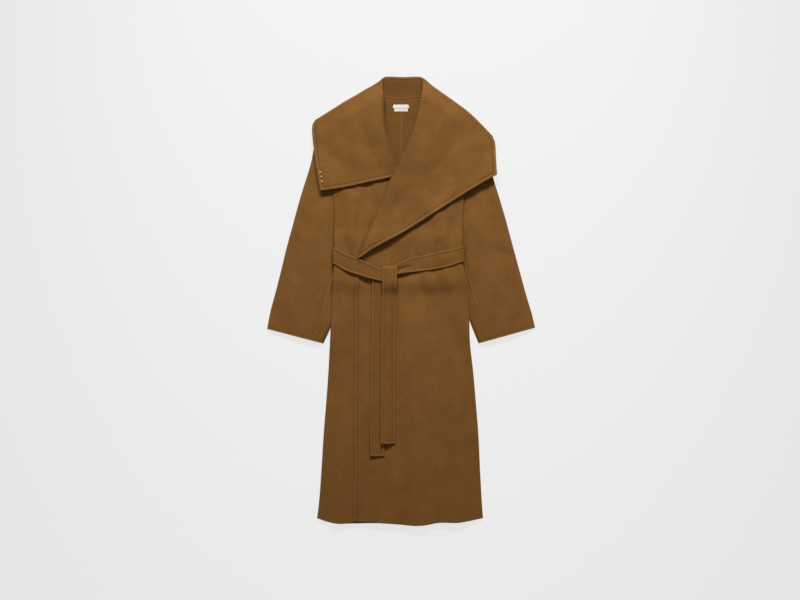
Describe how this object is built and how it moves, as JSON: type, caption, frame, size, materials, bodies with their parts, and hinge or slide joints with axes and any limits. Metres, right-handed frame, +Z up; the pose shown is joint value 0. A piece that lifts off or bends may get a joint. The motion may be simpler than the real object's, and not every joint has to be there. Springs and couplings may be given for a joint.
{
  "type": "wool wrap coat",
  "caption": "Long wool wrap coat with wide folded collar and lapel and a tied belt, laid flat on its back.",
  "frame": {"origin": "centre of the underside of the coat's bounding box, on the surface it lies on", "axes": "+Y from the hem to the collar, +Z up from the surface, +X to the wearer's left"},
  "size_m": [0.7434, 1.2528, 0.0352],
  "materials": {
    "coat_wool": "felted double-faced wool",
    "belt_wool": "felted double-faced wool, two layers",
    "label_tape": "woven label tape"
  },
  "bodies": {
    "root": {"back_left": "coat_wool", "back_right": "coat_wool", "front_left": "coat_wool", "front_right": "coat_wool", "sleeve_left_upper": "coat_wool", "sleeve_left_upper_top": "coat_wool", "sleeve_left_under": "coat_wool", "sleeve_right_upper": "coat_wool", "sleeve_right_upper_top": "coat_wool", "sleeve_right_under": "coat_wool", "collar_left": "coat_wool", "collar_right": "coat_wool", "collar_right_top": "coat_wool", "collar_back": "coat_wool", "collar_stand": "coat_wool", "belt_back": "belt_wool", "belt_run_left": "belt_wool", "belt_run_right": "belt_wool", "belt_front_tail": "belt_wool", "belt_back_tail": "belt_wool", "label": "label_tape", "label_tab": "label_tape"}
  },
  "joints": []
}
